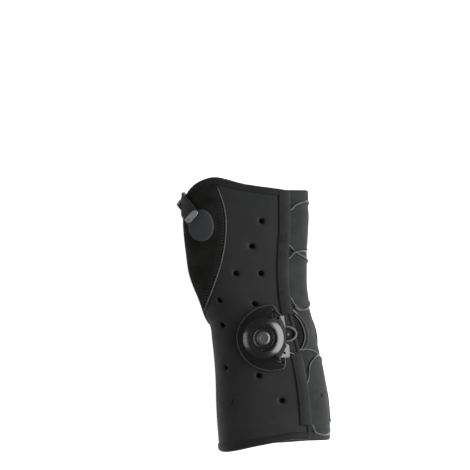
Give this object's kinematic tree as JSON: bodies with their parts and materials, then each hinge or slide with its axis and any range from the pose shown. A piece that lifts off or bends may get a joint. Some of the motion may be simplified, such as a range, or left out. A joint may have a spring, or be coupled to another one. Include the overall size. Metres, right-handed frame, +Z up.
{
  "type": "wrist brace",
  "caption": "Formed wrist brace open along the little finger's side, with a laced tongue, a turning lace dial on its back, a thumb opening and an elastic thumb strap.",
  "frame": {"origin": "on the floor under the middle of the brace's bounding box, as it lies on its palm side", "axes": "+Y along the arm towards the fingers, +X towards the little finger's side, +Z up out of the back of the hand"},
  "size_m": [0.1031, 0.1826, 0.0633],
  "materials": {
    "face_fabric": "fine-knit charcoal fabric laminated on a formed shell",
    "tongue_fabric": "brushed dark grey stretch fabric",
    "loop_pile": "black loop pile",
    "piping": "grey sewn piping",
    "webbing": "flat woven tape",
    "elastic": "ribbed elastic webbing",
    "tab": "smooth moulded hook tab",
    "satin_plastic": "satin moulded nylon",
    "gloss_plastic": "gloss black moulded plastic",
    "lace": "thin coated cord",
    "rivet": "satin metal"
  },
  "bodies": {
    "root": {"shell": "face_fabric", "tongue": "tongue_fabric", "loop_patch": "loop_pile", "patch_piping": "piping", "dorsal_strip_upper": "webbing", "dorsal_strip_lower": "webbing", "palmar_strip_upper": "webbing", "palmar_strip_lower": "webbing", "thumb_strap": "elastic", "hook_tab": "tab", "dial_base": "satin_plastic", "side_loop": "satin_plastic", "loop_rivet": "rivet", "lace_top": "lace", "lace_cross_low": "lace", "lace_cross_high": "lace", "lace_bow_upper": "lace", "lace_side_bow": "lace", "lace_palm_bow": "lace", "lace_lower": "lace", "lace_bottom": "lace"},
    "spool": {"reel_spool": "satin_plastic"},
    "knob": {"dial_knob": "gloss_plastic", "dial_cap": "gloss_plastic"}
  },
  "joints": [
    {"name": "dial_turn", "type": "hinge", "parent": "root", "child": "spool", "pos_m": [0.0057, -0.01539, 0.055], "axis": [0, 0, 1], "continuous": true},
    {"name": "dial_pull", "type": "slide", "parent": "spool", "child": "knob", "axis": [0, 0, 1], "range_m": [0, 0.002]}
  ]
}
